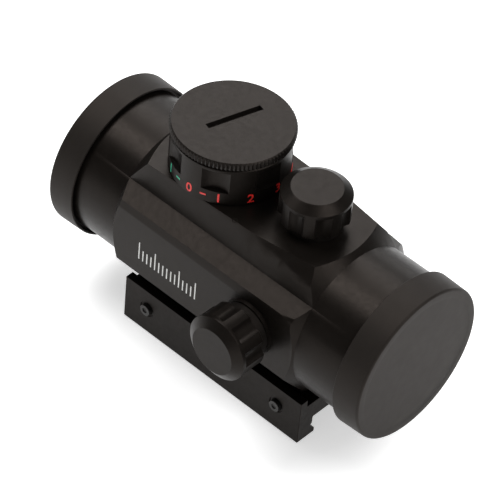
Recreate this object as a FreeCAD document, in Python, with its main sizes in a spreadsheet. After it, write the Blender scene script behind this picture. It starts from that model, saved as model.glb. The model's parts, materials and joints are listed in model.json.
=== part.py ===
"""Red dot finder: a 1x tube sight with a lit aiming dot, a rheostat dial and a rail clamp.

Frame: millimetres, +X forward towards the objective, +Y to the user's left, +Z up.
The origin lies on the flat that seats on the rail, under the middle of the sight.
"""
import FreeCAD, Part
import math
import os
from types import SimpleNamespace

import Sketcher

V = FreeCAD.Vector

DIMENSIONS = {
    # housing: the tube and the block that carries the turrets; heights from the optical axis
    "axis_height": 25.7, "tube_radius": 19.0, "bore_radius": 17.6,
    "tube_front": 44.0, "tube_rear": -50.5,
    "block_front": 25.5, "block_rear": -32.5, "end_cone_slope": 0.9,
    "deck_height": 20.4, "deck_half_rear": 14.4, "deck_half_front": 11.9,
    "shelf_top_half": 14.25, "shelf_top_height": 12.55,
    "shelf_low_half": 18.9, "shelf_low_height": 10.0,
    "side_half": 19.4, "side_top_height": 7.7, "side_low_height": -8.6,
    "foot_half": 11.5, "foot_slope_height": -18.0, "foot_height": -20.4, "windage_boss_radius": 7.3,
    # eyepiece window seat in the rear of the tube
    "sight_radius": 14.8, "window_radius": 16.1, "window_thickness": 2.0,
    "window_seat": -46.5, "window_step": 2.0, "window_ring_length": 1.6,
    # lens caps
    "cap_radius": 20.4, "front_face_radius": 20.15, "rear_face_radius": 20.6,
    "cap_bore_radius": 19.05, "cap_mouth_radius": 19.8, "cap_mouth_depth": 1.5, "cap_length": 7.4,
    "cap_face": 2.0, "cap_edge_round": 0.6, "cap_end_gap": 0.1,
    # gimbal ring and inner tube
    "pivot": -37.5, "ring_half": 2.5, "ring_radius": 17.3, "ring_bore": 16.2, "trunnion_radius": 1.0,
    "inner_radius": 15.95, "inner_bore": 15.0, "inner_rear": -40.0, "inner_front": 38.8,
    "cell_start": 30.0, "cell_radius": 16.5, "lens_radius": 15.5, "lens_seat": 32.5,
    "lens_edge": 2.4, "lens_sag_front": 1.3, "lens_sag_rear": 0.7,
    "lens_front_curve": 93.0, "lens_rear_curve": 155.0,
    # emitter
    "emitter": -23.5, "emitter_length": 5.0, "emitter_width": 5.2, "emitter_low": 11.6,
    "led_radius": 1.2, "led_height": 12.9, "led_length": 4.2, "lead_radius": 0.45, "lead_hole": 1.1,
    # windage and elevation turrets, measured outwards from the mounting face
    "turret": 11.7, "flange_radius": 6.8, "flange_height": 2.35, "neck_radius": 5.6, "neck_height": 7.1,
    "spigot_radius": 4.95, "spigot_depth": 2.7, "key_seat_depth": 1.5, "shaft_radius": 2.95,
    "disc_radius": 4.9, "disc_thickness": 1.4, "rod_radius": 1.5, "key_radius": 2.6, "key_flat": 2.0,
    "fit": 0.05, "knob_radius": 8.4, "knob_face_radius": 6.1, "knob_chamfer": 1.6, "knob_base": 2.45,
    "knob_top": 11.0, "knob_cavity": 5.68, "knob_roof": 1.9, "knob_flute_radius": 2.7,
    "knob_flute_centre": 10.0, "knob_flute_shoulder": 2.5, "seal_radius": 6.15, "seal_wire": 0.45,
    # rheostat dial, heights above the deck
    "dial": -14.6, "dial_radius": 14.4, "dial_base": 0.3, "dial_top": 10.7, "dial_floor": 4.8,
    "dial_floor_top": 6.2, "dial_cavity": 12.6, "battery_radius": 10.0, "battery_thickness": 3.2,
    "battery_base": 6.5, "battery_pocket": 10.25, "dial_mouth": 12.2, "dial_mouth_base": 7.8,
    "dial_flute_radius": 7.44, "dial_flute_centre": 20.64, "dial_flute_base": 3.8,
    "dial_flute_shoulder": 0.9,
    "hub_radius": 5.9, "hub_flange_radius": 8.0, "hub_flange": 1.2, "hub_top": 4.7,
    "boss_radius": 2.6, "boss_top": 5.55, "screw_head_radius": 3.6, "screw_radius": 1.5,
    "board_radius": 12.2, "board_thickness": 1.0,
    "track_radius": 13.5, "ball_radius": 0.5, "track_half": 0.56, "track_depth": 0.36,
    "battery_cap_radius": 14.8, "battery_cap_base": 11.2, "battery_cap_top": 13.1,
    "battery_cap_skirt": 12.1, "skirt_bore": 10.45, "skirt_depth": 3.1,
    "coin_slot_length": 14.6, "coin_slot_width": 1.6, "coin_slot_depth": 1.2, "coin_slot_along": 1.0,
    "coin_slot_across": 1.3,
    # rail clamp, heights from the rail seat
    "base_front": 26.2, "base_rear": -31.2, "base_half": 14.9, "base_top": 7.4, "web_top": 5.3,
    "wall_inner": 12.6, "jaw_face": 10.05, "jaw_gap": 0.15, "rail_side": 10.0, "groove_half": 10.7,
    "groove_top": -2.0, "groove_depth": -2.7, "hook_half": 9.0, "hook_top": -4.4, "hook_height": -5.6,
    "clamp_screw_height": 1.7, "clamp_rear": -23.8, "clamp_front": 18.7,
    "clamp_screw_radius": 1.5, "clamp_head_radius": 2.75, "clamp_head_height": 2.4,
    "mount_screw_rear": -14.0, "mount_screw_front": 10.0, "mount_head_radius": 2.75,
}

KNURL_TEETH = 96
TURRET_FLUTES = 8
DIAL_FLUTES = 7
DETENT_STEP = 30  # degrees between the brightness positions
DETENT_ANGLE = 45  # where the detent ball sits, from +X


class Size:
    """A length with the sheet expression that gives it."""

    def __init__(self, value, text):
        self.value = value
        self.text = text

    def __add__(self, other):
        other = size(other)
        return Size(self.value + other.value, f"({self.text} + {other.text})")

    def __sub__(self, other):
        other = size(other)
        return Size(self.value - other.value, f"({self.text} - {other.text})")

    def __rsub__(self, other):
        return size(other) - self

    def __mul__(self, other):
        other = size(other)
        return Size(self.value * other.value, f"({self.text} * {other.text})")

    def __neg__(self):
        return self * -1

    __radd__ = __add__
    __rmul__ = __mul__


def size(number):
    return number if isinstance(number, Size) else Size(float(number), f"({number})")


def make_sheet(doc):
    sheet = doc.addObject("Spreadsheet::Sheet", "dims")
    for row, (alias, value) in enumerate(DIMENSIONS.items(), start=1):
        sheet.set(f"A{row}", alias)
        sheet.set(f"B{row}", str(value))
        sheet.setAlias(f"B{row}", alias)
    doc.recompute()
    return SimpleNamespace(**{alias: Size(sheet.get(alias), f"dims.{alias}") for alias in DIMENSIONS})


doc = FreeCAD.newDocument("red_dot_finder")
d = make_sheet(doc)
nodes = {}
blanks = {}


def bind(thing, path, length):
    length = size(length)
    if "dims." in length.text:
        thing.setExpression(path, length.text)


def place(thing, x=0, y=0, z=0, axis=V(0, 0, 1), angle=0):
    """Put an object at a point of the frame, turned about an axis through its own origin."""
    x, y, z = size(x), size(y), size(z)
    thing.Placement = FreeCAD.Placement(V(x.value, y.value, z.value), FreeCAD.Rotation(axis, angle))
    for letter, length in zip("xyz", (x, y, z)):
        bind(thing, f"Placement.Base.{letter}", length)
    return thing


def node(thing, name):
    thing.Label = name
    nodes[name] = thing
    return thing


def new_body(name):
    return doc.addObject("PartDesign::Body", name + "_body")


def plane(body, role):
    return next(item for item in body.Origin.OriginFeatures if item.Role == role)


def new_sketch(body, name, role, offset=0):
    sketch = body.newObject("Sketcher::SketchObject", name)
    sketch.AttachmentSupport = (plane(body, role), [""])
    sketch.MapMode = "FlatFace"
    offset = size(offset)
    sketch.AttachmentOffset = FreeCAD.Placement(V(0, 0, offset.value), FreeCAD.Rotation())
    bind(sketch, "AttachmentOffset.Base.z", offset)
    return sketch


def pin_point(sketch, edge, end, horizontal, vertical):
    """Hold one end of an edge at two distances from the sketch's origin."""
    for kind, axis_line, length in (("DistanceX", -2, horizontal), ("DistanceY", -1, vertical)):
        length = size(length)
        if length.value == 0:
            sketch.addConstraint(Sketcher.Constraint("PointOnObject", edge, end, axis_line))
            continue
        index = sketch.addConstraint(Sketcher.Constraint(kind, -1, 1, edge, end, length.value))
        bind(sketch, f"Constraints[{index}]", length)


def polygon(body, name, role, points, offset=0):
    """A closed outline of straight lines through points given as pairs of lengths."""
    sketch = new_sketch(body, name, role, offset)
    corners = [V(size(a).value, size(b).value, 0) for a, b in points]
    count = len(corners)
    for index in range(count):
        sketch.addGeometry(Part.LineSegment(corners[index], corners[(index + 1) % count]), False)
    for index in range(count):
        sketch.addConstraint(Sketcher.Constraint("Coincident", index, 2, (index + 1) % count, 1))
    for index, (a, b) in enumerate(points):
        pin_point(sketch, index, 1, a, b)
    return sketch


def disc(body, name, centre, radius, offset=0):
    """A circle on a level plane."""
    sketch = new_sketch(body, name, "XY_Plane", offset)
    across, along = size(centre[0]), size(centre[1])
    radius = size(radius)
    sketch.addGeometry(Part.Circle(V(across.value, along.value, 0), V(0, 0, 1), radius.value), False)
    pin_point(sketch, 0, 3, across, along)
    index = sketch.addConstraint(Sketcher.Constraint("Radius", 0, radius.value))
    bind(sketch, f"Constraints[{index}]", radius)
    return sketch


def turn(body, name, outline, axis, cut=False):
    """Revolve an outline all the way round, as added or removed material."""
    kind = "PartDesign::Groove" if cut else "PartDesign::Revolution"
    feature = body.newObject(kind, name)
    feature.Profile = outline
    feature.ReferenceAxis = (outline, [axis])
    feature.Angle = 360
    doc.recompute()
    return feature


def turned_x(name, points):
    """A body turned about the sight's own axis; points are (place along X, radius)."""
    body = new_body(name)
    turn(body, name + "_turning", polygon(body, name + "_outline", "XZ_Plane", points), "H_Axis")
    return place(body, z=d.axis_height)


def turned_z(name, points):
    """A body turned about its upright axis; points are (radius, height)."""
    body = new_body(name)
    turn(body, name + "_turning", polygon(body, name + "_outline", "XZ_Plane", points), "V_Axis")
    return body


def bar_x(name, start, end, points):
    """A constant section along X; points are (Y, Z)."""
    body = new_body(name)
    outline = polygon(body, name + "_outline", "YZ_Plane", points, start)
    pad = body.newObject("PartDesign::Pad", name + "_pad")
    pad.Profile = outline
    pad.Length = (end - start).value
    bind(pad, "Length", end - start)
    doc.recompute()
    return body


def flutes(body, name, outline, depth, count):
    """Repeat one scalloped recess of the given height round the upright axis."""
    pocket = body.newObject("PartDesign::Pocket", name + "_flute")
    pocket.Profile = outline
    pocket.Reversed = True
    pocket.Type = 0
    pocket.Length = depth.value
    bind(pocket, "Length", depth)
    doc.recompute()
    pattern = body.newObject("PartDesign::PolarPattern", name + "_flutes")
    pattern.Originals = [pocket]
    pattern.Axis = (outline, ["N_Axis"])
    pattern.Angle = 360
    pattern.Occurrences = count
    body.Tip = pattern
    doc.recompute()


def cylinder(radius, height, x=0, y=0, z=0, axis=V(0, 0, 1), angle=0):
    solid = doc.addObject("Part::Cylinder", "cylinder")
    solid.Radius = size(radius).value
    solid.Height = size(height).value
    bind(solid, "Radius", radius)
    bind(solid, "Height", height)
    return place(solid, x, y, z, axis, angle)


def cylinder_x(radius, height, x=0, y=0, z=0):
    return cylinder(radius, height, x, y, z, V(0, 1, 0), 90)


def cylinder_y(radius, height, x=0, y=0, z=0):
    """A round bar that runs from y towards -Y."""
    return cylinder(radius, height, x, y, z, V(1, 0, 0), 90)


def box(length, width, height, x=0, y=0, z=0):
    solid = doc.addObject("Part::Box", "box")
    for side, value in (("Length", length), ("Width", width), ("Height", height)):
        setattr(solid, side, size(value).value)
        bind(solid, side, value)
    return place(solid, x, y, z)


def centred_box(length, width, height, x=0, y=0, z=0):
    return box(length, width, height, x - size(length) * 0.5, y - size(width) * 0.5, z)


def hexagon(across_flats, height, x, y, z):
    """A hexagonal bar that runs from y towards -Y."""
    solid = doc.addObject("Part::Prism", "hexagon")
    solid.Polygon = 6
    solid.Circumradius = across_flats / math.sqrt(3)
    solid.Height = height
    return place(solid, x, y, z, V(1, 0, 0), 90)


def fuse(*solids):
    union = doc.addObject("Part::MultiFuse", "fusion")
    union.Shapes = list(solids)
    return union


def cut(base, *tools):
    result = doc.addObject("Part::Cut", "cut")
    result.Base = base
    result.Tool = tools[0] if len(tools) == 1 else fuse(*tools)
    return result


def common(one, other):
    result = doc.addObject("Part::Common", "common")
    result.Base = one
    result.Tool = other
    return result


def shaped(name, shape):
    """A piece whose shape is computed, for forms that sketches and primitives don't give."""
    thing = doc.addObject("Part::Feature", name)
    thing.Shape = shape
    return thing


# ------------------------------------------------------------------ housing

def block_section(body, name, x, deck_half):
    """Cross-section of the turret block: deck, wall, shelf, side face and foot, both sides."""
    right = [
        (deck_half, d.deck_height), (d.shelf_top_half, d.shelf_top_height),
        (d.shelf_low_half, d.shelf_low_height), (d.side_half, d.side_top_height),
        (d.side_half, d.side_low_height), (d.foot_half, d.foot_slope_height),
        (d.foot_half, d.foot_height),
    ]
    left = [(-half, height) for half, height in reversed(right)]
    return polygon(body, name, "YZ_Plane", right + left, x)


def end_cone(x, direction):
    """Outline of the metal turned off one end of the block, down to the tube."""
    reach = 9.0
    far = x + direction * 6.0
    return [
        (x, d.tube_radius), (x - d.end_cone_slope * reach * direction, d.tube_radius + reach),
        (far, d.tube_radius + reach), (far, d.tube_radius),
    ]


def deck_facet(side):
    """The flat milled off one front corner of the deck."""
    start = V(4.9, side * 12.8, d.deck_height.value)
    front = V(22.3, side * 10.6, d.deck_height.value)
    low = V(22.5, side * 13.2, 17.0)
    normal = (front - start).cross(low - start)
    if normal.z < 0:
        normal = normal * -1
    rotation = FreeCAD.Rotation(V(0, 0, 1), normal)
    slab = 60.0
    tool = doc.addObject("Part::Box", "facet_tool")
    tool.Length = tool.Width = slab
    tool.Height = 12.0
    corner = rotation.multVec(V(-slab / 2, -slab / 2, 0))
    lift = V(0, 0, d.axis_height.value)
    tool.Placement = FreeCAD.Placement(low + corner + lift, rotation)
    return tool


def make_housing():
    body = new_body("housing")
    tube = polygon(body, "tube_outline", "XZ_Plane", [
        (d.tube_rear, 0), (d.tube_front, 0), (d.tube_front, d.tube_radius - 0.3),
        (d.tube_front - 0.3, d.tube_radius), (d.tube_rear + 0.3, d.tube_radius),
        (d.tube_rear, d.tube_radius - 0.3)])
    turn(body, "tube", tube, "H_Axis")

    margin = 2.0
    loft = body.newObject("PartDesign::AdditiveLoft", "turret_block")
    loft.Profile = block_section(body, "rear_section", d.block_rear - margin, d.deck_half_rear)
    loft.Sections = [block_section(body, "front_section", d.block_front + margin, d.deck_half_front)]
    loft.Ruled = True
    doc.recompute()

    for name, x, direction in (("front", d.block_front, 1), ("rear", d.block_rear, -1)):
        outline = polygon(body, name + "_cone_outline", "XZ_Plane", end_cone(x, direction))
        turn(body, name + "_cone", outline, "H_Axis", cut=True)

    flange_end = d.window_seat + d.window_step
    pocket = d.window_radius + 0.1
    bore = polygon(body, "bore_outline", "XZ_Plane", [
        (d.tube_rear - 1, 0), (d.tube_front + 1, 0), (d.tube_front + 1, d.bore_radius),
        (flange_end, d.bore_radius), (flange_end, d.sight_radius),
        (d.window_seat, d.sight_radius), (d.window_seat, pocket), (d.tube_rear - 1, pocket)])
    turn(body, "bore", bore, "H_Axis", cut=True)
    place(body, z=d.axis_height)

    deck = d.axis_height + d.deck_height
    foot = d.axis_height + d.foot_height
    facets = [deck_facet(side) for side in (-1, 1)]
    boss = cylinder_y(d.windage_boss_radius, 2.5, d.turret, 2.5 - d.deck_height, d.axis_height)
    angle = math.radians(DETENT_ANGLE)
    holes = [
        cylinder(d.spigot_radius + d.fit, 6, d.turret, 0, deck - 5),
        cylinder_y(d.spigot_radius + d.fit, 6, d.turret, 5 - d.deck_height, d.axis_height),
        cylinder(d.screw_radius + 0.02, 2.2, d.dial, 0, deck - 2.2),
        cylinder(d.ball_radius + d.fit, 3.6, d.dial + d.track_radius * math.cos(angle),
                 d.track_radius * math.sin(angle), deck - 3.6),
        cylinder(d.lead_hole, 4, d.emitter, 0, deck - 3.9),
        cylinder(d.trunnion_radius + d.fit, 1.2, d.pivot, 0, d.axis_height + d.bore_radius - 0.3),
        cylinder(d.trunnion_radius + d.fit, 1.2, d.pivot, 0, d.axis_height - d.bore_radius - 0.9),
    ]
    holes += [cylinder(0.62, 2.2, d.dial, side * 6.95, deck - 2.2) for side in (-1, 1)]
    for x in (d.mount_screw_rear, d.mount_screw_front):
        holes.append(cylinder(d.screw_radius + 0.02, 2.2, x, 0, foot))
    return node(cut(fuse(body, boss), *facets, *holes), "housing")


# ------------------------------------------------------------ caps and glass

def make_lens_cap(name, tube_end, direction, face_radius):
    """A rubber cup pushed over one end of the tube."""
    floor = tube_end + d.cap_end_gap * direction
    face = floor + d.cap_face * direction
    lip = face - d.cap_length * direction
    soft = d.cap_edge_round
    cap = turned_x(name, [
        (face, 0), (face, face_radius - soft), (face - soft * 0.3 * direction, face_radius - soft * 0.3),
        (face - soft * direction, face_radius), (lip + 1.8 * direction, d.cap_radius),
        (lip + 0.3 * direction, d.cap_radius), (lip, d.cap_radius - 0.3), (lip, d.cap_mouth_radius),
        (lip + d.cap_mouth_depth * direction, d.cap_mouth_radius),
        (lip + d.cap_mouth_depth * direction, d.cap_bore_radius),
        (floor, d.cap_bore_radius), (floor, 0)])
    return node(cap, name)


def make_window():
    start = d.window_seat - d.window_thickness
    node(turned_x("rear_window", [
        (start, 0), (d.window_seat, 0), (d.window_seat, d.window_radius), (start, d.window_radius)]),
        "rear_window")
    end = start - d.window_ring_length
    ring = turned_x("rear_window_ring", [
        (end, d.sight_radius), (start, d.sight_radius), (start, d.window_radius + 0.05),
        (end, d.window_radius + 0.05)])
    slots = box(0.8, d.window_radius * 2 + 2, 1.6, end - 0.1, -d.window_radius - 1, d.axis_height - 0.8)
    node(cut(ring, slots), "rear_window_ring")


def make_pivot_ring():
    """Gimbal ring: two upright trunnions into the housing, two level ones into the inner tube."""
    start, end = d.pivot - d.ring_half, d.pivot + d.ring_half
    ring = turned_x("pivot_ring", [
        (start, d.ring_bore), (end, d.ring_bore), (end, d.ring_radius), (start, d.ring_radius)])
    stub = 1.5
    uprights = [cylinder(d.trunnion_radius, stub, d.pivot, 0, d.axis_height + z)
                for z in (d.ring_radius - 0.45, -d.ring_radius - 1.05)]
    level = [cylinder_y(d.trunnion_radius, stub, d.pivot, y, d.axis_height)
             for y in (d.ring_bore + 0.4, -d.ring_bore + 1.1)]
    return node(fuse(ring, *uprights, *level), "pivot_ring")


def make_inner_tube():
    """The tube that carries the lens and the emitter and tilts on the gimbal ring."""
    tube = turned_x("inner_tube", [
        (d.inner_rear, d.inner_bore), (d.lens_seat - 1.5, d.inner_bore), (d.lens_seat - 1.5, d.sight_radius),
        (d.lens_seat, d.sight_radius), (d.lens_seat, d.lens_radius + 0.05),
        (d.inner_front, d.lens_radius + 0.05), (d.inner_front, d.cell_radius),
        (d.cell_start, d.cell_radius), (d.cell_start - 0.55, d.inner_radius),
        (d.inner_rear, d.inner_radius)])
    across = d.inner_radius * 2 + 2
    holes = [
        cylinder_y(d.trunnion_radius + d.fit, across, d.pivot, d.inner_radius + 1, d.axis_height),
        cylinder(d.lead_hole, 3, d.emitter, 0, d.axis_height + d.inner_bore - 1),
    ]
    node(cut(tube, *holes), "inner_tube")
    front_face = d.lens_seat + d.lens_edge + 0.15
    ring = turned_x("objective_ring", [
        (front_face, d.sight_radius), (d.inner_front, d.sight_radius),
        (d.inner_front, d.lens_radius), (front_face, d.lens_radius)])
    slots = box(0.8, d.lens_radius * 2 + 2, 1.6, d.inner_front - 0.7, -d.lens_radius - 1, d.axis_height - 0.8)
    node(cut(ring, slots), "objective_ring")


def lens_ball(radius, x):
    solid = doc.addObject("Part::Sphere", "lens_ball")
    solid.Radius = radius.value
    bind(solid, "Radius", radius)
    return place(solid, x, 0, d.axis_height, V(0, 0, 1), 180)


def make_objective():
    """Meniscus lens: a round blank with a convex front and a hollow rear."""
    apex = d.lens_seat + d.lens_edge + d.lens_sag_front
    blank = cylinder_x(d.lens_radius, d.lens_edge + d.lens_sag_front * 1.1, d.lens_seat, 0, d.axis_height)
    convex = lens_ball(d.lens_front_curve, apex - d.lens_front_curve)
    hollow = lens_ball(d.lens_rear_curve, d.lens_seat + d.lens_sag_rear - d.lens_rear_curve)
    node(cut(common(blank, convex), hollow), "objective_lens")


def make_emitter():
    start = d.emitter - d.emitter_length * 0.5
    blank = box(d.emitter_length, d.emitter_width, 5, start, -d.emitter_width * 0.5,
                d.axis_height + d.emitter_low)
    envelope = cylinder_x(d.inner_bore - 0.02, d.emitter_length, start, 0, d.axis_height)
    led_start = d.emitter + d.emitter_length * 0.5 - 2.2
    socket = cylinder_x(d.led_radius + 0.03, 3, led_start, 0, d.axis_height + d.led_height)
    node(cut(common(blank, envelope), socket), "emitter_holder")
    barrel = cylinder_x(d.led_radius, d.led_length - d.led_radius, led_start + 0.02, 0,
                        d.axis_height + d.led_height)
    dome = doc.addObject("Part::Sphere", "led_dome")
    dome.Radius = d.led_radius.value
    bind(dome, "Radius", d.led_radius)
    place(dome, led_start + 0.02 + d.led_length - d.led_radius, 0, d.axis_height + d.led_height)
    node(fuse(barrel, dome), "led")
    lead_base = d.axis_height + d.inner_bore
    board_base = d.axis_height + d.deck_height + d.hub_flange
    node(cylinder(d.lead_radius, board_base - lead_base, d.emitter, 0, lead_base), "led_lead")


def make_return_spring():
    """Bowed leaf in the corner opposite both adjusters, between the bore and the inner tube."""
    thickness, width, half = 0.3, 6.0, 15.0
    low, high = d.inner_radius.value + 0.08, d.bore_radius.value - 0.62
    edge = -width / 2
    centre = V(0, edge, -low)
    ends = [V(-half, edge, -high), V(half, edge, -high)]
    inner = Part.Arc(ends[0], centre, ends[1]).toShape()
    drop = V(0, 0, -thickness)
    outer = Part.Arc(ends[1] + drop, centre + drop, ends[0] + drop).toShape()
    sides = [Part.makeLine(ends[1], ends[1] + drop), Part.makeLine(ends[0] + drop, ends[0])]
    face = Part.Face(Part.Wire(Part.__sortEdges__([inner, sides[0], outer, sides[1]])))
    spring = shaped("return_spring", face.extrude(V(0, width, 0)))
    return node(place(spring, d.turret, 0, d.axis_height, V(1, 0, 0), 45), "return_spring")


# ------------------------------------------------------------------- turrets

def make_turret(name, face, tilt):
    """Bushing, adjuster, pusher, cap and seal of one adjustment, turned from +Z by tilt."""
    def settle(thing):
        return place(thing, d.turret, 0, d.axis_height, V(1, 0, 0), tilt)

    top = face + d.neck_height
    foot = face - d.spigot_depth
    shaft_bore = d.shaft_radius + d.fit
    bushing = turned_z(name + "_bushing", [
        (0, foot), (d.spigot_radius, foot), (d.spigot_radius, face), (d.flange_radius, face),
        (d.flange_radius, face + d.flange_height), (d.neck_radius, face + d.flange_height),
        (d.neck_radius, top), (shaft_bore, top), (shaft_bore, foot + d.key_seat_depth),
        (0, foot + d.key_seat_depth)])
    key_seat = common(
        cylinder(d.key_radius + 0.08, 3, 0, 0, foot - 0.5),
        centred_box(8, (d.key_flat + 0.08) * 2, 3, 0, 0, foot - 0.5))
    node(settle(cut(bushing, key_seat)), name + "_bushing")

    disc_base = top + d.fit
    disc_top = disc_base + d.disc_thickness
    adjuster = turned_z(name + "_adjuster", [
        (d.rod_radius + d.fit, face - 1.1), (d.shaft_radius, face - 1.1), (d.shaft_radius, disc_base),
        (d.disc_radius, disc_base), (d.disc_radius, disc_top), (0, disc_top),
        (0, face + 6.2), (d.rod_radius + d.fit, face + 6.2)])
    slot = centred_box(12, 1.2, 1, 0, 0, disc_top - 0.7)
    node(settle(cut(adjuster, slot)), name + "_adjuster")

    reach = d.inner_radius + d.fit
    rod = cylinder(d.rod_radius, face + 5.5 - reach, 0, 0, reach)
    key = common(
        cylinder(d.key_radius, 1.8, 0, 0, face - 3.4),
        centred_box(8, d.key_flat * 2, 1.8, 0, 0, face - 3.4))
    node(settle(fuse(rod, key)), name + "_pusher")

    cap_base, cap_top = face + d.knob_base, face + d.knob_top
    roof = cap_top - d.knob_roof
    seat = d.seal_radius + d.seal_wire + 0.1
    seat_top = cap_base + 1.0
    cap = turned_z(name + "_cap", [
        (0, roof), (d.knob_cavity, roof), (d.knob_cavity, seat_top), (seat, seat_top), (seat, cap_base),
        (d.knob_radius - 0.2, cap_base), (d.knob_radius, cap_base + 0.2),
        (d.knob_radius, cap_top - d.knob_chamfer), (d.knob_face_radius + 0.3, cap_top - 0.2),
        (d.knob_face_radius, cap_top), (0, cap_top)])
    angle = math.radians(-80)
    centre = (d.knob_flute_centre * math.cos(angle), d.knob_flute_centre * math.sin(angle))
    flute = disc(cap, name + "_flute_outline", centre, d.knob_flute_radius, cap_base - 1)
    flutes(cap, name, flute, d.knob_top - d.knob_base - d.knob_flute_shoulder + 1, TURRET_FLUTES)
    node(settle(cap), name + "_cap")

    seal = doc.addObject("Part::Torus", name + "_seal_ring")
    seal.Radius1 = d.seal_radius.value
    seal.Radius2 = d.seal_wire.value
    bind(seal, "Radius1", d.seal_radius)
    bind(seal, "Radius2", d.seal_wire)
    lifted = place(seal, 0, 0, face + d.flange_height + d.seal_wire + d.fit)
    node(settle(fuse_one(lifted)), name + "_seal")


def fuse_one(solid):
    """Wrap one placed solid, so that the wrapper can take a placement of its own."""
    wrapper = doc.addObject("Part::Compound", "wrapper")
    wrapper.Links = [solid]
    return wrapper


# ------------------------------------------------------------------ rheostat

def on_deck(thing, turn_angle=0):
    return place(thing, d.dial, 0, d.axis_height + d.deck_height, V(0, 0, 1), turn_angle)


def make_hub():
    hub = turned_z("dial_hub", [
        (0, 0), (d.hub_flange_radius, 0), (d.hub_flange_radius, d.hub_flange), (d.hub_radius, d.hub_flange),
        (d.hub_radius, d.hub_top), (d.boss_radius, d.hub_top), (d.boss_radius, d.boss_top), (0, d.boss_top)])
    holes = [cylinder(d.screw_radius + 0.02, 8, 0, 0, -1)]
    for side in (-1, 1):
        holes.append(cylinder(0.62, 3, 0, side * 6.95, -1))
        holes.append(cylinder(0.97, 1, 0, side * 6.95, d.hub_flange - 0.65))
    node(on_deck(cut(hub, *holes)), "dial_hub")
    screws = []
    for side in (-1, 1):
        screws += [cylinder(0.6, 2.8, 0, side * 6.95, -2.05),
                   cylinder(0.95, 0.6, 0, side * 6.95, d.hub_flange - 0.62)]
    node(on_deck(fuse(*screws)), "hub_screws")
    shank = cylinder(d.screw_radius, d.boss_top + 2.1, 0, 0, -2.1)
    head = cylinder(d.screw_head_radius, 0.6, 0, 0, d.boss_top)
    cross = centred_box(4.2, 0.9, 1, 0, 0, d.boss_top + 0.25)
    node(on_deck(cut(fuse(shank, head), cross)), "dial_screw")
    board = cylinder(d.board_radius, d.board_thickness, 0, 0, d.hub_flange)
    eye = cylinder(d.hub_radius + 0.03, 3, 0, 0, d.hub_flange - 1)
    node(on_deck(cut(board, eye)), "switch_board")


def make_dial():
    track_in, track_out = d.track_radius - d.track_half, d.track_radius + d.track_half
    track_top = d.dial_base + d.track_depth
    counterbore = d.screw_head_radius + 0.2
    dial = turned_z("rheostat_dial", [
        (d.boss_radius + 0.08, d.dial_floor), (d.dial_cavity, d.dial_floor), (d.dial_cavity, d.dial_base),
        (track_in, d.dial_base), (track_in, track_top), (track_out, track_top), (track_out, d.dial_base),
        (d.dial_radius, d.dial_base), (d.dial_radius, d.dial_top - 0.25), (d.dial_radius - 0.25, d.dial_top),
        (d.dial_mouth, d.dial_top), (d.dial_mouth, d.dial_mouth_base), (d.battery_pocket, d.dial_mouth_base),
        (d.battery_pocket, d.dial_floor_top), (counterbore, d.dial_floor_top),
        (counterbore, d.boss_top - 0.05), (d.boss_radius + 0.08, d.boss_top - 0.05)])
    angle = math.radians(-61.5)
    centre = (d.dial_flute_centre * math.cos(angle), d.dial_flute_centre * math.sin(angle))
    flute = disc(dial, "dial_flute_outline", centre, d.dial_flute_radius, d.dial_flute_base)
    flutes(dial, "dial", flute, d.dial_top - d.dial_flute_shoulder - d.dial_flute_base, DIAL_FLUTES)
    dimples = []
    for step in range(360 // DETENT_STEP):
        spot = math.radians(DETENT_ANGLE + step * DETENT_STEP)
        dimple = doc.addObject("Part::Sphere", "dimple")
        dimple.Radius = d.ball_radius.value
        bind(dimple, "Radius", d.ball_radius)
        dimples.append(place(dimple, d.track_radius * math.cos(spot), d.track_radius * math.sin(spot),
                             track_top - 0.1))
    node(on_deck(cut(dial, *dimples)), "rheostat_dial")

    wiper_ring = cut(cylinder(9.6, 0.4, 0, 0, d.dial_floor - 0.42), cylinder(7.4, 2, 0, 0, d.dial_floor - 1))
    foot_base = d.hub_flange + d.board_thickness + 0.06
    feet = []
    for spot in (20, 200):
        x, y = 8.5 * math.cos(math.radians(spot)), 8.5 * math.sin(math.radians(spot))
        feet.append(cylinder(0.6, d.dial_floor - 0.3 - foot_base, x, y, foot_base))
    node(on_deck(fuse(wiper_ring, *feet)), "dial_wiper")

    contact = cylinder(9.2, 0.26, 0, 0, d.dial_floor_top + 0.02)
    window = cylinder(4.2, 2, 0, 0, d.dial_floor_top - 1)
    node(on_deck(cut(contact, window)), "battery_contact")
    node(on_deck(turned_z("battery", [
        (0, d.battery_base), (d.battery_radius - 1, d.battery_base),
        (d.battery_radius - 1, d.battery_base + 0.4),
        (d.battery_radius - 0.3, d.battery_base + 0.4), (d.battery_radius, d.battery_base + 0.7),
        (d.battery_radius, d.battery_base + d.battery_thickness - 0.3),
        (d.battery_radius - 0.3, d.battery_base + d.battery_thickness),
        (0, d.battery_base + d.battery_thickness)])), "battery")


def knurled_disc(radius, height, teeth, depth):
    """A disc whose rim is cut into upright V teeth."""
    points = []
    for index in range(teeth * 2):
        reach = radius if index % 2 == 0 else radius - depth
        spot = math.pi * index / teeth
        points.append(V(reach * math.cos(spot), reach * math.sin(spot), 0))
    outline = Part.makePolygon(points + points[:1])
    return Part.Face(outline).extrude(V(0, 0, height))


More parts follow.
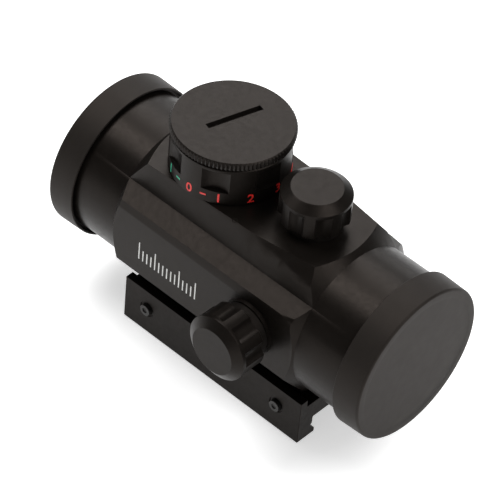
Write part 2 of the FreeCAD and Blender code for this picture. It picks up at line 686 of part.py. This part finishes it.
def make_battery_cap():
    base, top = d.battery_cap_base, d.battery_cap_top
    boss = d.battery_base + d.battery_thickness + 0.05
    skirt = turned_z("cap_skirt", [
        (0, boss), (6, boss), (6, base), (d.skirt_bore, base),
        (d.skirt_bore, base - d.skirt_depth),
        (d.battery_cap_skirt, base - d.skirt_depth), (d.battery_cap_skirt, base + 0.2), (0, base + 0.2)])
    rim = shaped("cap_rim", knurled_disc(d.battery_cap_radius.value, (top - base).value, KNURL_TEETH, 0.38))
    place(rim, z=base)
    bevel = turned_z("cap_bevel", [
        (0, base - 4), (d.battery_cap_radius - 0.15, base - 4), (d.battery_cap_radius - 0.15, base),
        (d.battery_cap_radius + 0.1, base + 0.25), (d.battery_cap_radius + 0.1, top - 0.6),
        (d.battery_cap_radius - 0.5, top), (0, top)])
    slot = centred_box(d.coin_slot_length, d.coin_slot_width, 3, d.coin_slot_along, d.coin_slot_across,
                       top - d.coin_slot_depth)
    slot_angle = 74.6
    tool = place(fuse_one(slot), axis=V(0, 0, 1), angle=slot_angle)
    node(on_deck(cut(fuse(common(rim, bevel), skirt), tool)), "battery_cap")
    seal = cut(cylinder(13.4, 0.4, 0, 0, d.dial_top + 0.04), cylinder(12.3, 2, 0, 0, d.dial_top - 1))
    node(on_deck(seal), "battery_seal")


def make_detent():
    angle = math.radians(DETENT_ANGLE)
    x, y = d.dial + d.track_radius * math.cos(angle), d.track_radius * math.sin(angle)
    deck = d.axis_height + d.deck_height
    ball = doc.addObject("Part::Sphere", "ball")
    ball.Radius = d.ball_radius.value
    bind(ball, "Radius", d.ball_radius)
    node(place(ball, x, y, deck + 0.1), "detent_ball")
    pitch, height, wire = 0.42, 2.86, 0.11
    helix = Part.makeHelix(pitch, height, 0.4)
    section = Part.Wire(Part.makeCircle(wire, V(0.4, 0, 0), V(0, 1, 0)))
    coil = Part.Wire(helix).makePipeShell([section], True, True)
    spring = shaped("detent_spring", coil)
    node(place(spring, x, y, deck - 3.42), "detent_spring")


# ---------------------------------------------------------------- rail clamp

def make_mount():
    base_side = d.jaw_face - d.jaw_gap
    base = bar_x("mount_base", d.base_rear, d.base_front, [
        (-d.base_half, d.hook_height), (-d.hook_half, d.hook_height), (-d.hook_half, d.hook_top),
        (-d.groove_half, d.groove_depth), (-d.rail_side, d.groove_top), (-d.rail_side, 0),
        (base_side, 0), (base_side, d.web_top), (-d.wall_inner, d.web_top),
        (-d.wall_inner, d.base_top), (-d.base_half, d.base_top)])
    holes = []
    for x in (d.clamp_rear, d.clamp_front):
        holes.append(cylinder_y(d.clamp_screw_radius + d.fit, 28, x, d.jaw_face + 1, d.clamp_screw_height))
        holes.append(cylinder_y(2.1, 2, x, 0.3 - d.base_half, d.clamp_screw_height))
    for x in (d.mount_screw_rear, d.mount_screw_front):
        holes.append(cylinder(d.screw_radius + 0.1, 9, x, 0, -1))
        holes.append(cylinder(d.mount_head_radius + 0.1, 3.2, x, 0, -1))
    node(cut(base, *holes), "mount_base")

    screws = []
    for x in (d.mount_screw_rear, d.mount_screw_front):
        shank = cylinder(d.screw_radius, 5.3, x, 0, 2)
        head = cylinder(d.mount_head_radius, 1.9, x, 0, 0.25)
        socket = centred_box(2, 2, 1.2, x, 0, 0.2)
        screws.append(cut(fuse(shank, head), socket))
    node(fuse(*screws), "mount_screws")

    jaw_top = d.web_top - 0.1
    jaw = bar_x("clamp_jaw", d.base_rear, d.base_front, [
        (d.jaw_face, jaw_top), (d.jaw_face, d.groove_top), (d.groove_half, d.groove_depth),
        (d.hook_half, d.hook_top), (d.hook_half, d.hook_height), (d.base_half, d.hook_height),
        (d.base_half, d.base_top), (d.wall_inner, d.base_top), (d.wall_inner, jaw_top)])
    openings = [cylinder_y(d.clamp_screw_radius + d.fit, 10, x, d.base_half + 1, d.clamp_screw_height)
                for x in (d.clamp_rear, d.clamp_front)]
    node(cut(jaw, *openings), "clamp_jaw")

    for name, x in (("rear", d.clamp_rear), ("front", d.clamp_front)):
        under_head = d.base_half + 0.05
        shank = cylinder_y(d.clamp_screw_radius, d.base_half * 2 + 0.85, x, under_head, d.clamp_screw_height)
        head = cylinder_y(d.clamp_head_radius, d.clamp_head_height, x, under_head + d.clamp_head_height,
                          d.clamp_screw_height)
        socket = hexagon(2.5, 1.6, x, under_head + d.clamp_head_height + 0.1, d.clamp_screw_height)
        point = cylinder_y(0.7, 2, x, -0.5 - d.base_half, d.clamp_screw_height)
        node(cut(fuse(shank, head), socket, point), "clamp_screw_" + name)


# --------------------------------------------------------------------- build

def check_and_write():
    doc.recompute()
    failed = [thing.Label for thing in doc.Objects if {"Invalid", "Error"} & set(thing.State)]
    if failed:
        raise RuntimeError("failed objects: " + ", ".join(failed))
    os.makedirs("parts", exist_ok=True)
    for name, thing in nodes.items():
        shape = thing.Shape
        if shape.isNull() or not shape.isValid() or not shape.Solids:
            raise RuntimeError("bad shape: " + name)
        shape.exportStep(f"parts/{name}.step")
        print(f"{name:22s} solids {len(shape.Solids)}  volume {shape.Volume:10.2f} mm3")


make_housing()
make_lens_cap("front_lens_cap", d.tube_front, 1, d.front_face_radius)
make_lens_cap("rear_lens_cap", d.tube_rear, -1, d.rear_face_radius)
make_window()
make_pivot_ring()
make_inner_tube()
make_objective()
make_emitter()
make_return_spring()
make_turret("elevation", d.deck_height, 0)
make_turret("windage", d.deck_height, 90)
make_hub()
make_dial()
make_battery_cap()
make_detent()
make_mount()
check_and_write()
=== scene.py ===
import bpy
import json
import math
from mathutils import Matrix, Vector


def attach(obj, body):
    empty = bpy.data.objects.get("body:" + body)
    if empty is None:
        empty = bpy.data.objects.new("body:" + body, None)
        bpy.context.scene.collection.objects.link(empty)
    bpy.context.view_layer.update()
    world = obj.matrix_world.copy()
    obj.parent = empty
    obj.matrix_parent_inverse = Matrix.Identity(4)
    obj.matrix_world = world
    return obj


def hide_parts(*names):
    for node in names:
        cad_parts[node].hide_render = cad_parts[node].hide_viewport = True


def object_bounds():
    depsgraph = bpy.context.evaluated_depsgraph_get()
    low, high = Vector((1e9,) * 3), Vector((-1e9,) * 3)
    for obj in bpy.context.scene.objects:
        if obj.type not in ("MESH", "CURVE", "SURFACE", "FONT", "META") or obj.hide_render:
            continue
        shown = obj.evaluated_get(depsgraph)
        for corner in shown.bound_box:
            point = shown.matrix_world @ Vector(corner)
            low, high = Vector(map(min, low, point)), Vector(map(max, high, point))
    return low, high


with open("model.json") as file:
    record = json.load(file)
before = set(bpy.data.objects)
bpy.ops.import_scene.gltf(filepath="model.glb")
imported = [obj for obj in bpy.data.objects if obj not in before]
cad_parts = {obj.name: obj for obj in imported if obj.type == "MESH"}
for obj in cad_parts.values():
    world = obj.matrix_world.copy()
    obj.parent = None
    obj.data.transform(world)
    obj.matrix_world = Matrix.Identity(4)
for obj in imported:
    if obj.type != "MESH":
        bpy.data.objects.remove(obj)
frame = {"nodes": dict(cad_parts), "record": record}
cadLow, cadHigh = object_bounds()
print("frame loaded")

mm = 0.001
axisHeight = 25.7 * mm  # optical axis above the rail seat
deckHeight = axisHeight + 20.4 * mm  # flat top of the turret block
grainDepth = 0.02 * mm  # height of the finest grain in every finish
sharpAngle = math.radians(30)  # edges sharper than this are bevelled and stay crisp
flatAngle = math.radians(0.6)  # faces closer to level than this become one face
weldGap = 0.002 * mm  # points closer together than this become one point
nearly = 0.001 * mm  # slack for telling which points lie on a face


# every finish reads Object coordinates, so its pattern stays on its piece
def startMaterial(name):
    material = bpy.data.materials.new(name)
    material.use_nodes = True
    nodes = material.node_tree.nodes
    shader = nodes["Principled BSDF"]
    place = nodes.new("ShaderNodeTexCoord")
    return material, material.node_tree, shader, place.outputs["Object"]


def addNoise(tree, vector, scale, detail=3.0, roughness=0.55):
    noise = tree.nodes.new("ShaderNodeTexNoise")
    noise.inputs["Scale"].default_value = scale
    noise.inputs["Detail"].default_value = detail
    noise.inputs["Roughness"].default_value = roughness
    tree.links.new(vector, noise.inputs["Vector"])
    return noise.outputs["Fac"]


def addRange(tree, value, low, high, fromLow=0.3, fromHigh=0.7):
    span = tree.nodes.new("ShaderNodeMapRange")
    span.inputs["From Min"].default_value = fromLow
    span.inputs["From Max"].default_value = fromHigh
    span.inputs["To Min"].default_value = low
    span.inputs["To Max"].default_value = high
    tree.links.new(value, span.inputs["Value"])
    return span.outputs["Result"]


def addRamp(tree, value, stops):
    ramp = tree.nodes.new("ShaderNodeValToRGB")
    ramp.color_ramp.elements[0].position = stops[0][0]
    ramp.color_ramp.elements[0].color = (*stops[0][1], 1)
    ramp.color_ramp.elements[1].position = stops[1][0]
    ramp.color_ramp.elements[1].color = (*stops[1][1], 1)
    tree.links.new(value, ramp.inputs["Fac"])
    return ramp.outputs["Color"]


def addBump(tree, shader, heights):
    normal = None
    for height, strength in heights:
        bump = tree.nodes.new("ShaderNodeBump")
        bump.inputs["Strength"].default_value = strength
        bump.inputs["Distance"].default_value = grainDepth
        tree.links.new(height, bump.inputs["Height"])
        if normal is not None:
            tree.links.new(normal, bump.inputs["Normal"])
        normal = bump.outputs["Normal"]
    tree.links.new(normal, shader.inputs["Normal"])


def addBands(tree, vector, direction, scale):
    wave = tree.nodes.new("ShaderNodeTexWave")
    wave.bands_direction = direction
    wave.inputs["Scale"].default_value = scale
    wave.inputs["Distortion"].default_value = 0.6
    wave.inputs["Detail"].default_value = 2.0
    tree.links.new(vector, wave.inputs["Vector"])
    return wave.outputs["Fac"]


def warmSheen(shader, level):
    shader.inputs["Specular IOR Level"].default_value = level
    shader.inputs["Specular Tint"].default_value = (1.0, 0.84, 0.74, 1)


anodising = {  # dark and light tone, roughness and grain of each blasted and dyed part
    "blackAnodisedHousing": ((0.0046, 0.0037, 0.0031), (0.0062, 0.0051, 0.0043), 0.33, 5200.0),
    "blackAnodisedKnob": ((0.0038, 0.0031, 0.0026), (0.0054, 0.0045, 0.0038), 0.36, 6000.0),
    "blackAnodisedLid": ((0.0075, 0.0064, 0.0056), (0.01, 0.0086, 0.0076), 0.38, 5600.0),
    "blackAnodisedMount": ((0.0048, 0.0039, 0.0033), (0.0066, 0.0054, 0.0046), 0.46, 4200.0),
    "blackAnodisedTrim": ((0.005, 0.0043, 0.0038), (0.007, 0.0061, 0.0054), 0.5, 5200.0),
}


def anodised(name):
    dark, light, rough, grain = anodising[name]
    material, tree, shader, spot = startMaterial(name)
    mottle = addNoise(tree, spot, 260.0, 4.0)
    tree.links.new(addRamp(tree, mottle, [(0.3, dark), (0.75, light)]), shader.inputs["Base Color"])
    smear = addNoise(tree, spot, 900.0, 3.0)
    tree.links.new(addRange(tree, smear, rough - 0.04, rough + 0.05), shader.inputs["Roughness"])
    blast = addNoise(tree, spot, grain, 2.0, 0.7)
    addBump(tree, shader, [(blast, 0.25)])
    warmSheen(shader, 0.125)
    return material


housingFinish = anodised("blackAnodisedHousing")
knobFinish = anodised("blackAnodisedKnob")
lidFinish = anodised("blackAnodisedLid")
mountFinish = anodised("blackAnodisedMount")
trimFinish = anodised("blackAnodisedTrim")

rubber = {"dark": (0.0125, 0.0108, 0.0096), "light": (0.0145, 0.0126, 0.0113), "rough": (0.5, 0.54),
          "bands": 620.0, "pores": 3800.0, "sheen": 0.14}


def mouldedRubber(name):
    material, tree, shader, spot = startMaterial(name)
    mottle = addNoise(tree, spot, 180.0, 5.0)
    tone = addRamp(tree, mottle, [(0.3, rubber["dark"]), (0.7, rubber["light"])])
    tree.links.new(tone, shader.inputs["Base Color"])
    smear = addNoise(tree, spot, 420.0, 4.0)
    tree.links.new(addRange(tree, smear, *rubber["rough"]), shader.inputs["Roughness"])
    bands = addBands(tree, spot, "X", rubber["bands"])  # faint mould lines round the cup
    pores = addNoise(tree, spot, rubber["pores"], 2.0, 0.7)
    addBump(tree, shader, [(bands, 0.10), (pores, 0.18)])
    warmSheen(shader, rubber["sheen"])
    return material


capRubber = mouldedRubber("lensCapRubber")


def plainSoft(name, dark, light, rough, metallic=0.0, scale=700.0, bump=0.15):
    material, tree, shader, spot = startMaterial(name)
    mottle = addNoise(tree, spot, scale, 4.0)
    tree.links.new(addRamp(tree, mottle, [(0.3, dark), (0.7, light)]), shader.inputs["Base Color"])
    smear = addNoise(tree, spot, scale * 3, 3.0)
    tree.links.new(addRange(tree, smear, rough - 0.05, rough + 0.06), shader.inputs["Roughness"])
    addBump(tree, shader, [(addNoise(tree, spot, scale * 7, 2.0), bump)])
    shader.inputs["Metallic"].default_value = metallic
    return material


sealRubber = plainSoft("sealRubber", (0.006, 0.006, 0.006), (0.012, 0.012, 0.012), 0.6)
brassTurned = plainSoft("turnedBrass", (0.55, 0.38, 0.14), (0.72, 0.53, 0.24), 0.3, 1.0)
contactBrass = plainSoft("stampedContact", (0.62, 0.46, 0.2), (0.8, 0.64, 0.34), 0.26, 1.0)
springSteel = plainSoft("springSteel", (0.42, 0.42, 0.43), (0.6, 0.6, 0.61), 0.25, 1.0)
screwSteel = plainSoft("blackOxideSteel", (0.02, 0.019, 0.018), (0.04, 0.038, 0.036), 0.38, 0.6)
batterySteel = plainSoft("batterySteel", (0.6, 0.6, 0.61), (0.75, 0.75, 0.76), 0.22, 1.0)
blackPlastic = plainSoft("mouldedPlastic", (0.014, 0.014, 0.014), (0.024, 0.024, 0.024), 0.5)
boardGreen = plainSoft("solderMask", (0.01, 0.09, 0.03), (0.02, 0.16, 0.06), 0.35)
ledRed = plainSoft("ledEpoxy", (0.45, 0.01, 0.01), (0.7, 0.03, 0.02), 0.12)
leadRed = plainSoft("leadInsulation", (0.4, 0.02, 0.015), (0.55, 0.04, 0.03), 0.4)
paintRed = plainSoft("dialPaintRed", (0.62, 0.012, 0.01), (0.8, 0.03, 0.02), 0.5, bump=0.08)
paintGreen = plainSoft("dialPaintGreen", (0.01, 0.3, 0.16), (0.03, 0.45, 0.26), 0.5, bump=0.08)
paintWhite = plainSoft("scalePaintWhite", (0.62, 0.62, 0.6), (0.76, 0.76, 0.74), 0.55, bump=0.08)


def coatedGlass(name, tint, reflex):
    material, tree, shader, spot = startMaterial(name)
    shader.inputs["Transmission Weight"].default_value = 1.0
    shader.inputs["IOR"].default_value = 1.5
    haze = addNoise(tree, spot, 300.0, 3.0)
    tree.links.new(addRamp(tree, haze, [(0.3, tint), (0.7, reflex)]), shader.inputs["Base Color"])
    tree.links.new(addRange(tree, haze, 0.02, 0.05), shader.inputs["Roughness"])
    return material


clearGlass = coatedGlass("windowGlass", (0.93, 0.97, 0.96), (0.9, 0.96, 0.95))
redGlass = coatedGlass("redCoatedGlass", (0.8, 0.3, 0.22), (0.85, 0.36, 0.26))

slotFinish = {
    "anodised_body": housingFinish, "anodised_trim": trimFinish, "anodised_mount": mountFinish,
    "turret_cap": knobFinish, "dial_body": knobFinish, "battery_cap": lidFinish,
    "cap_rubber": capRubber, "seal_rubber": sealRubber, "optical_glass": clearGlass,
    "coated_glass": redGlass, "brass_parts": brassTurned, "contact_brass": contactBrass,
    "spring_steel": springSteel, "screw_steel": screwSteel, "battery_steel": batterySteel,
    "black_plastic": blackPlastic, "circuit_board": boardGreen, "led_epoxy": ledRed,
    "lead_insulation": leadRed,
}
nodeSlot = {entry["node"]: entry["material_slot"] for entry in frame["record"]["subparts"]}
for nodeName, cadPiece in frame["nodes"].items():
    cadPiece.data.materials.clear()
    cadPiece.data.materials.append(slotFinish[nodeSlot[nodeName]])
print("finishes on", len(frame["nodes"]), "nodes")


def pickOnly(piece):
    if bpy.context.object and bpy.context.object.mode != "OBJECT":
        bpy.ops.object.mode_set(mode="OBJECT")
    bpy.ops.object.select_all(action="DESELECT")
    piece.hide_viewport = False
    piece.select_set(True)
    bpy.context.view_layer.objects.active = piece


def finishPiece(piece, name, body, finish):
    pickOnly(piece)
    bpy.ops.object.transform_apply(location=True, rotation=True, scale=True)
    bpy.ops.object.shade_smooth_by_angle(angle=sharpAngle)
    piece.name = name
    piece.data.name = name
    piece.data.materials.clear()
    piece.data.materials.append(finish)
    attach(piece, body)


def bevelEdges(piece, width):
    pickOnly(piece)
    soften = piece.modifiers.new("soften", "BEVEL")
    soften.width = width
    soften.segments = 3
    soften.limit_method = "ANGLE"
    soften.angle_limit = sharpAngle
    soften.use_clamp_overlap = True
    soften.miter_outer = "MITER_ARC"
    bpy.ops.object.modifier_apply(modifier="soften")


def evenFaces(piece):  # flat faces shade flat right up to their rounded edges
    pickOnly(piece)
    weigh = piece.modifiers.new("weigh", "WEIGHTED_NORMAL")
    weigh.keep_sharp = True
    weigh.weight = 80
    bpy.ops.object.modifier_apply(modifier="weigh")


def softenedCopy(nodeName, name, body, finish, width):
    source = frame["nodes"][nodeName]
    piece = bpy.data.objects.new(name, source.data.copy())
    bpy.context.scene.collection.objects.link(piece)
    pickOnly(piece)
    bpy.ops.object.mode_set(mode="EDIT")
    bpy.ops.mesh.select_all(action="SELECT")
    bpy.ops.mesh.remove_doubles(threshold=weldGap)
    bpy.ops.mesh.dissolve_limited(angle_limit=flatAngle, use_dissolve_boundaries=False)
    bpy.ops.mesh.normals_make_consistent(inside=False)
    bpy.ops.object.mode_set(mode="OBJECT")
    bevelEdges(piece, width)
    finishPiece(piece, name, body, finish)
    evenFaces(piece)
    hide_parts(nodeName)


softCopies = [  # machined parts with their edges broken: node, piece, body, finish, edge width
    ("housing", "housingShell", "housing", housingFinish, 0.22 * mm),
    ("mount_base", "mountRail", "housing", mountFinish, 0.2 * mm),
    ("clamp_jaw", "mountJaw", "jaw", mountFinish, 0.2 * mm),
    ("elevation_cap", "elevationKnob", "elevation_cap", knobFinish, 0.22 * mm),
    ("windage_cap", "windageKnob", "windage_cap", knobFinish, 0.22 * mm),
    ("rheostat_dial", "dialBarrel", "dial", knobFinish, 0.2 * mm),
    ("battery_cap", "batteryLid", "battery_cap", lidFinish, 0.1 * mm),
    ("clamp_screw_rear", "rearClampScrew", "clamp_screw_rear", screwSteel, 0.12 * mm),
    ("clamp_screw_front", "frontClampScrew", "clamp_screw_front", screwSteel, 0.12 * mm),
]
for nodeName, pieceName, bodyName, finish, width in softCopies:
    softenedCopy(nodeName, pieceName, bodyName, finish, width)


def clearPicks(piece):
    bpy.ops.object.mode_set(mode="OBJECT")
    for part in (piece.data.vertices, piece.data.edges, piece.data.polygons):
        part.foreach_set("select", [False] * len(part))


def pickFaces(piece, test):
    clearPicks(piece)
    for face in piece.data.polygons:
        face.select = test(face.center, face.normal)
    bpy.ops.object.mode_set(mode="EDIT")
    bpy.ops.mesh.select_mode(type="FACE")


def pickRims(piece, test):
    clearPicks(piece)
    points = piece.data.vertices
    for edge in piece.data.edges:
        edge.select = all(test(points[end].co) for end in edge.vertices)
    bpy.ops.object.mode_set(mode="EDIT")
    bpy.ops.mesh.select_mode(type="EDGE")


cupShape = {  # a moulded cup, pushed over an end of the tube
    "sides": 144, "radius": 20.4 * mm, "length": 7.4 * mm, "mouth": 19.8 * mm, "mouthDepth": 1.5 * mm,
    "bore": 19.05 * mm, "floor": 2.0 * mm, "edge": 0.6 * mm, "lip": 0.2 * mm, "rim": 1.6 * mm,
    "step": 0.5 * mm, "dish": 0.12 * mm,
}


def lensCup(name, nodeName, body, mouthX, direction, faceRadius):
    cup = cupShape
    bpy.ops.object.select_all(action="DESELECT")
    bpy.ops.mesh.primitive_cylinder_add(
        vertices=cup["sides"], radius=cup["radius"], depth=cup["length"], end_fill_type="NGON",
        location=(0, 0, cup["length"] / 2))
    piece = bpy.context.object
    bpy.ops.object.transform_apply(location=True, rotation=True, scale=True)
    top = cup["length"]
    pickFaces(piece, lambda spot, normal: normal.z > 0.9)
    bpy.ops.transform.resize(value=(faceRadius / cup["radius"], faceRadius / cup["radius"], 1))
    pickFaces(piece, lambda spot, normal: normal.z < -0.9)
    bpy.ops.mesh.inset(thickness=cup["radius"] - cup["mouth"])
    bpy.ops.mesh.extrude_region_move(TRANSFORM_OT_translate={"value": (0, 0, cup["mouthDepth"])})
    bpy.ops.mesh.inset(thickness=cup["mouth"] - cup["bore"])
    bpy.ops.mesh.extrude_region_move(
        TRANSFORM_OT_translate={"value": (0, 0, top - cup["mouthDepth"] - cup["floor"])})
    pickRims(piece, lambda spot: abs(spot.z - top) < nearly)
    bpy.ops.mesh.bevel(offset=cup["edge"], segments=5, affect="EDGES", clamp_overlap=True)
    pickRims(piece, lambda spot: spot.z < nearly)
    bpy.ops.mesh.bevel(offset=cup["lip"], segments=3, affect="EDGES", clamp_overlap=True)
    pickFaces(piece, lambda spot, normal: normal.z > 0.99 and abs(spot.z - top) < nearly)
    bpy.ops.mesh.inset(thickness=cup["rim"])
    bpy.ops.mesh.inset(thickness=cup["step"])
    bpy.ops.transform.translate(value=(0, 0, -cup["dish"]))
    bpy.ops.mesh.select_all(action="SELECT")
    bpy.ops.mesh.normals_make_consistent(inside=False)
    bpy.ops.object.mode_set(mode="OBJECT")
    piece.rotation_euler = (0, direction * math.pi / 2, 0)
    piece.location = (mouthX, 0, axisHeight)
    finishPiece(piece, name, body, capRubber)
    evenFaces(piece)
    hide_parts(nodeName)


lensCup("frontLensCup", "front_lens_cap", "front_cap", 38.7 * mm, 1, 20.15 * mm)
lensCup("rearLensCup", "rear_lens_cap", "rear_cap", -45.2 * mm, -1, 20.6 * mm)
print("lens cups made")

dialPaint = {  # figures on the skirt of the dial, with angles in degrees
    "x": -14.6 * mm, "radius": 14.4 * mm, "height": deckHeight + 0.95 * mm, "depth": 0.06 * mm,
    "sink": 0.02 * mm, "size": 3.5 * mm, "swell": 0.05 * mm, "dash": (1.5 * mm, 0.45 * mm),
    "dashRise": 1.25 * mm, "dashEdge": 0.02 * mm, "curve": 6, "zero": -87.5, "step": 30, "last": 5,
}


def paintedFigure(text):
    bpy.ops.object.select_all(action="DESELECT")
    bpy.ops.object.text_add()
    figure = bpy.context.object
    figure.data.body = text
    figure.data.align_x = "CENTER"
    figure.data.size = dialPaint["size"]
    figure.data.extrude = dialPaint["depth"]
    figure.data.offset = dialPaint["swell"]
    figure.data.resolution_u = dialPaint["curve"]
    bpy.ops.object.convert(target="MESH")
    figure = bpy.context.object
    bpy.ops.object.mode_set(mode="EDIT")
    bpy.ops.mesh.select_all(action="SELECT")
    bpy.ops.mesh.remove_doubles(threshold=nearly)
    bpy.ops.mesh.normals_make_consistent(inside=False)
    bpy.ops.object.mode_set(mode="OBJECT")
    return figure


def paintedDash():
    bpy.ops.object.select_all(action="DESELECT")
    bpy.ops.mesh.primitive_cube_add(size=1)
    dash = bpy.context.object
    dash.scale = (*dialPaint["dash"], dialPaint["depth"] * 2)
    bpy.ops.object.transform_apply(location=False, rotation=False, scale=True)
    bpy.ops.object.mode_set(mode="EDIT")
    bpy.ops.mesh.select_all(action="SELECT")
    bpy.ops.mesh.bevel(offset=dialPaint["dashEdge"], segments=2, affect="EDGES")
    bpy.ops.transform.translate(value=(0, dialPaint["dashRise"], 0))
    bpy.ops.object.mode_set(mode="OBJECT")
    return dash


def placeSign(sign, name, angle, finish):  # stands the sign upright on the skirt, facing outwards
    turn = math.radians(angle)
    sign.rotation_euler = (math.pi / 2, 0, turn + math.pi / 2)
    reach = dialPaint["radius"] - dialPaint["sink"]
    sign.location = (dialPaint["x"] + reach * math.cos(turn), reach * math.sin(turn), dialPaint["height"])
    finishPiece(sign, name, "dial", finish)


for count in range(dialPaint["last"] + 1):
    angle = dialPaint["zero"] + dialPaint["step"] * count
    placeSign(paintedFigure(str(count)), "redNumeral" + str(count), angle, paintRed)
for count in range(1, dialPaint["last"] + 1):
    angle = dialPaint["zero"] - dialPaint["step"] * count
    placeSign(paintedFigure(str(count)), "greenNumeral" + str(count), angle, paintGreen)
placeSign(paintedDash(), "redDash", dialPaint["zero"] + dialPaint["step"] / 2, paintRed)
placeSign(paintedDash(), "greenDash", dialPaint["zero"] - dialPaint["step"] / 2, paintGreen)
print("numerals made")

indexMark = {  # the small ring beside the dial that its figures are read against
    "spot": (-0.66 * mm, -12.9 * mm, deckHeight), "radius": 0.62 * mm, "wire": 0.13 * mm, "flatten": 0.5,
}
bpy.ops.object.select_all(action="DESELECT")
bpy.ops.mesh.primitive_torus_add(
    major_radius=indexMark["radius"], minor_radius=indexMark["wire"], major_segments=40,
    minor_segments=10, location=indexMark["spot"])
indexRing = bpy.context.object
indexRing.scale.z = indexMark["flatten"]
finishPiece(indexRing, "indexRing", "housing", trimFinish)

sideMarks = {  # a white graduation on the side of the housing
    "start": -23.4 * mm, "step": 1.3 * mm, "count": 15, "bottom": axisHeight - 3.8 * mm,
    "long": 5.2 * mm, "short": 3.2 * mm, "longOnes": (0, 4, 10, 14), "width": 0.34 * mm,
    "thickness": 0.1 * mm, "edge": 0.03 * mm, "y": -19.4 * mm,
}


def paintedTick(count):
    tall = sideMarks["long"] if count in sideMarks["longOnes"] else sideMarks["short"]
    bpy.ops.object.select_all(action="DESELECT")
    bpy.ops.mesh.primitive_cube_add(size=1)
    tick = bpy.context.object
    tick.scale = (sideMarks["width"], sideMarks["thickness"], tall)
    tick.location = (
        sideMarks["start"] + count * sideMarks["step"], sideMarks["y"], sideMarks["bottom"] + tall / 2)
    bpy.ops.object.transform_apply(location=True, rotation=True, scale=True)
    bpy.ops.object.mode_set(mode="EDIT")
    bpy.ops.mesh.select_all(action="SELECT")
    bpy.ops.mesh.bevel(offset=sideMarks["edge"], segments=2, affect="EDGES")
    bpy.ops.object.mode_set(mode="OBJECT")
    return tick


ticks = [paintedTick(count) for count in range(sideMarks["count"])]
bpy.ops.object.select_all(action="DESELECT")
for tick in ticks:
    tick.select_set(True)
bpy.context.view_layer.objects.active = ticks[0]
bpy.ops.object.join()
finishPiece(ticks[0], "sideScale", "housing", paintWhite)
print("marks made")

camera = {  # in front of the part, above it and to one side, with a long lens
    "distance": 0.7192, "back": (0.45251, -0.55840, 0.69529), "right": (0.72619, 0.68327, 0.07613),
    "up": (-0.51757, 0.47046, 0.71469), "lens": 221.92, "shift": (-0.03828, 0.01918),
    "sensor": 36, "nearest": 0.01,
}
cameraData = bpy.data.cameras.new("studioCamera")
cameraData.lens = camera["lens"]
cameraData.sensor_width = camera["sensor"]
cameraData.shift_x, cameraData.shift_y = camera["shift"]
cameraData.clip_start = camera["nearest"]
cameraObject = bpy.data.objects.new("studioCamera", cameraData)
bpy.context.scene.collection.objects.link(cameraObject)
turn = Matrix((camera["right"], camera["up"], camera["back"])).transposed().to_4x4()
target = Vector((0, 0, axisHeight))
cameraObject.matrix_world = Matrix.Translation(target + Vector(camera["back"]) * camera["distance"]) @ turn
bpy.context.scene.camera = cameraObject

bpy.ops.object.select_all(action="DESELECT")
studioFloor = {
    "size": 6, "gap": 0.2 * mm, "rough": 0.9, "glow": 0.52, "tones": (0.9, 0.92), "mottle": 3.0,
}
bpy.ops.mesh.primitive_plane_add(size=studioFloor["size"], location=(0, 0, cadLow.z - studioFloor["gap"]))
floor = bpy.context.object
floor.name = "studioFloor"
floorFinish, floorTree, floorShader, floorSpot = startMaterial("paleFloor")
floorShader.inputs["Roughness"].default_value = studioFloor["rough"]
floorShader.inputs["Emission Color"].default_value = (1, 1, 1, 1)
floorShader.inputs["Emission Strength"].default_value = studioFloor["glow"]
darker, lighter = [(tone, tone, tone) for tone in studioFloor["tones"]]
floorMottle = addNoise(floorTree, floorSpot, studioFloor["mottle"])
floorTone = addRamp(floorTree, floorMottle, [(0.3, darker), (0.7, lighter)])
floorTree.links.new(floorTone, floorShader.inputs["Base Color"])
floor.data.materials.append(floorFinish)

roomLight = 0.2
world = bpy.data.worlds.new("studioWorld")
world.use_nodes = True
world.node_tree.nodes["Background"].inputs["Color"].default_value = (1, 1, 1, 1)
world.node_tree.nodes["Background"].inputs["Strength"].default_value = roomLight
bpy.context.scene.world = world
bpy.context.scene.view_settings.view_transform = "Standard"

softboxes = {  # position, size and power; each is aimed at the middle of the part
    "rearSoftbox": ((-0.5, 0.5, 0.8), (0.5, 0.7), 5.3),
    "crossSoftbox": ((-0.5, -0.15, 0.95), (0.45, 0.5), 5.5),
    "overheadSoftbox": ((0.55, 0.05, 0.85), (0.5, 0.6), 4.0),
    "noseSoftbox": ((1.0, 0.17, 0.5), (0.35, 0.35), 2.0),
    "rimSoftbox": ((-0.47, 0.9, 0.32), (0.45, 0.3), 1.0),
}
aim = Vector((0, 0, 20 * mm))
for name, (position, size, power) in softboxes.items():
    lightData = bpy.data.lights.new(name, "AREA")
    lightData.shape = "RECTANGLE"
    lightData.size, lightData.size_y = size
    lightData.energy = power
    light = bpy.data.objects.new(name, lightData)
    bpy.context.scene.collection.objects.link(light)
    light.location = position
    light.rotation_euler = (aim - Vector(position)).to_track_quat("-Z", "Y").to_euler()
print("studio ready")
